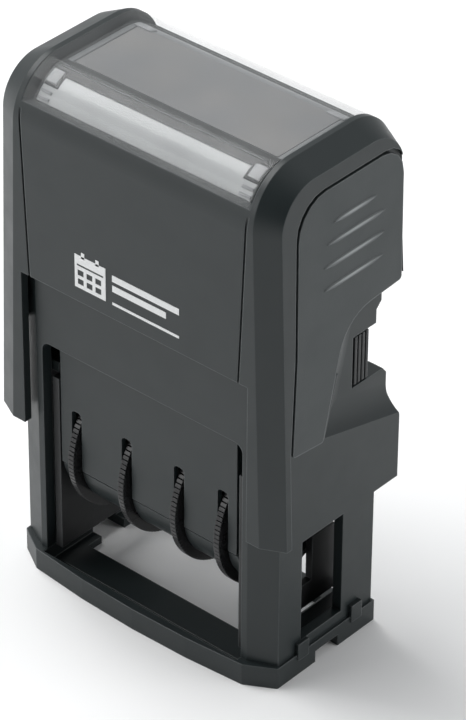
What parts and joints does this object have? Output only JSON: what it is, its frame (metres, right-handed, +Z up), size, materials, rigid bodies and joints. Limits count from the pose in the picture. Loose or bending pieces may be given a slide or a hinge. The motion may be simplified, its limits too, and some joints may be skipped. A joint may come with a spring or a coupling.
{
  "type": "self-inking date stamp",
  "caption": "Self-inking date stamp with a press-down cap, flip-over date block, toothed thumb wheels behind a slotted guard, pull-out ink pad and a clear top window.",
  "frame": {"origin": "on the paper under the middle of the stamp", "axes": "+Z up, the slotted front looks along -Y, +X to the right seen from the front"},
  "size_m": [0.0524, 0.0289, 0.0825],
  "materials": {
    "shell": "satin",
    "inner": "matt",
    "felt": "inked felt",
    "clear": "clear polished",
    "card": "printed card",
    "plate": "satin grey",
    "mark": "printed white",
    "steel": "bright",
    "wheel": "moulded",
    "band": "matt"
  },
  "bodies": {
    "frame": {"frame_shell": "shell", "foot_ring": "shell", "cam_plate_left": "inner", "cam_plate_right": "inner"},
    "pad": {"ink_pad_tray": "inner", "ink_pad_felt": "felt"},
    "cap": {"cap_housing": "shell", "grip_panel_left": "shell", "grip_panel_right": "shell", "card_plate": "plate", "index_card": "card", "front_emblem": "mark", "band_guard": "shell", "return_spring_left": "steel", "return_spring_right": "steel"},
    "window": {"index_window": "clear"},
    "block": {"yoke_cheek_left": "inner", "yoke_cheek_right": "inner", "nose_bar": "inner", "wheel_shroud": "shell", "wheel_axle": "steel", "axle_clips": "steel", "date_band_one": "band", "date_band_two": "band", "date_band_three": "band", "date_band_four": "band", "detent_spring": "steel"},
    "wheel_one": {"thumb_wheel_one": "wheel"},
    "wheel_two": {"thumb_wheel_two": "wheel"},
    "wheel_three": {"thumb_wheel_three": "wheel"},
    "wheel_four": {"thumb_wheel_four": "wheel"}
  },
  "joints": [
    {"name": "cap_press", "type": "slide", "parent": "frame", "child": "cap", "axis": [0, 0, -1], "range_m": [0, 0.015], "stiffness_N_per_m": 400, "springref_m": -0.005, "deforming": ["return_spring_left", "return_spring_right"]},
    {"name": "block_flip", "type": "hinge", "parent": "cap", "child": "block", "pos_m": [0, 0.0015, 0.025], "axis": [1, 0, 0], "range_deg": [0, 180]},
    {"name": "pad_pull", "type": "slide", "parent": "frame", "child": "pad", "axis": [0, 1, 0], "range_m": [0, 0.022]},
    {"name": "window_lift", "type": "slide", "parent": "cap", "child": "window", "axis": [0, 0, 1], "range_m": [0, 0.012]},
    {"name": "wheel_one_turn", "type": "hinge", "parent": "block", "child": "wheel_one", "pos_m": [0, 0, 0.02067], "axis": [1, 0, 0], "continuous": true},
    {"name": "wheel_two_turn", "type": "hinge", "parent": "block", "child": "wheel_two", "pos_m": [0, 0, 0.02067], "axis": [1, 0, 0], "continuous": true},
    {"name": "wheel_three_turn", "type": "hinge", "parent": "block", "child": "wheel_three", "pos_m": [0, 0, 0.02067], "axis": [1, 0, 0], "continuous": true},
    {"name": "wheel_four_turn", "type": "hinge", "parent": "block", "child": "wheel_four", "pos_m": [0, 0, 0.02067], "axis": [1, 0, 0], "continuous": true}
  ],
  "couplings": [
    {"joint": "block_flip", "follows": "cap_press", "rad_per_m": 209.44}
  ]
}
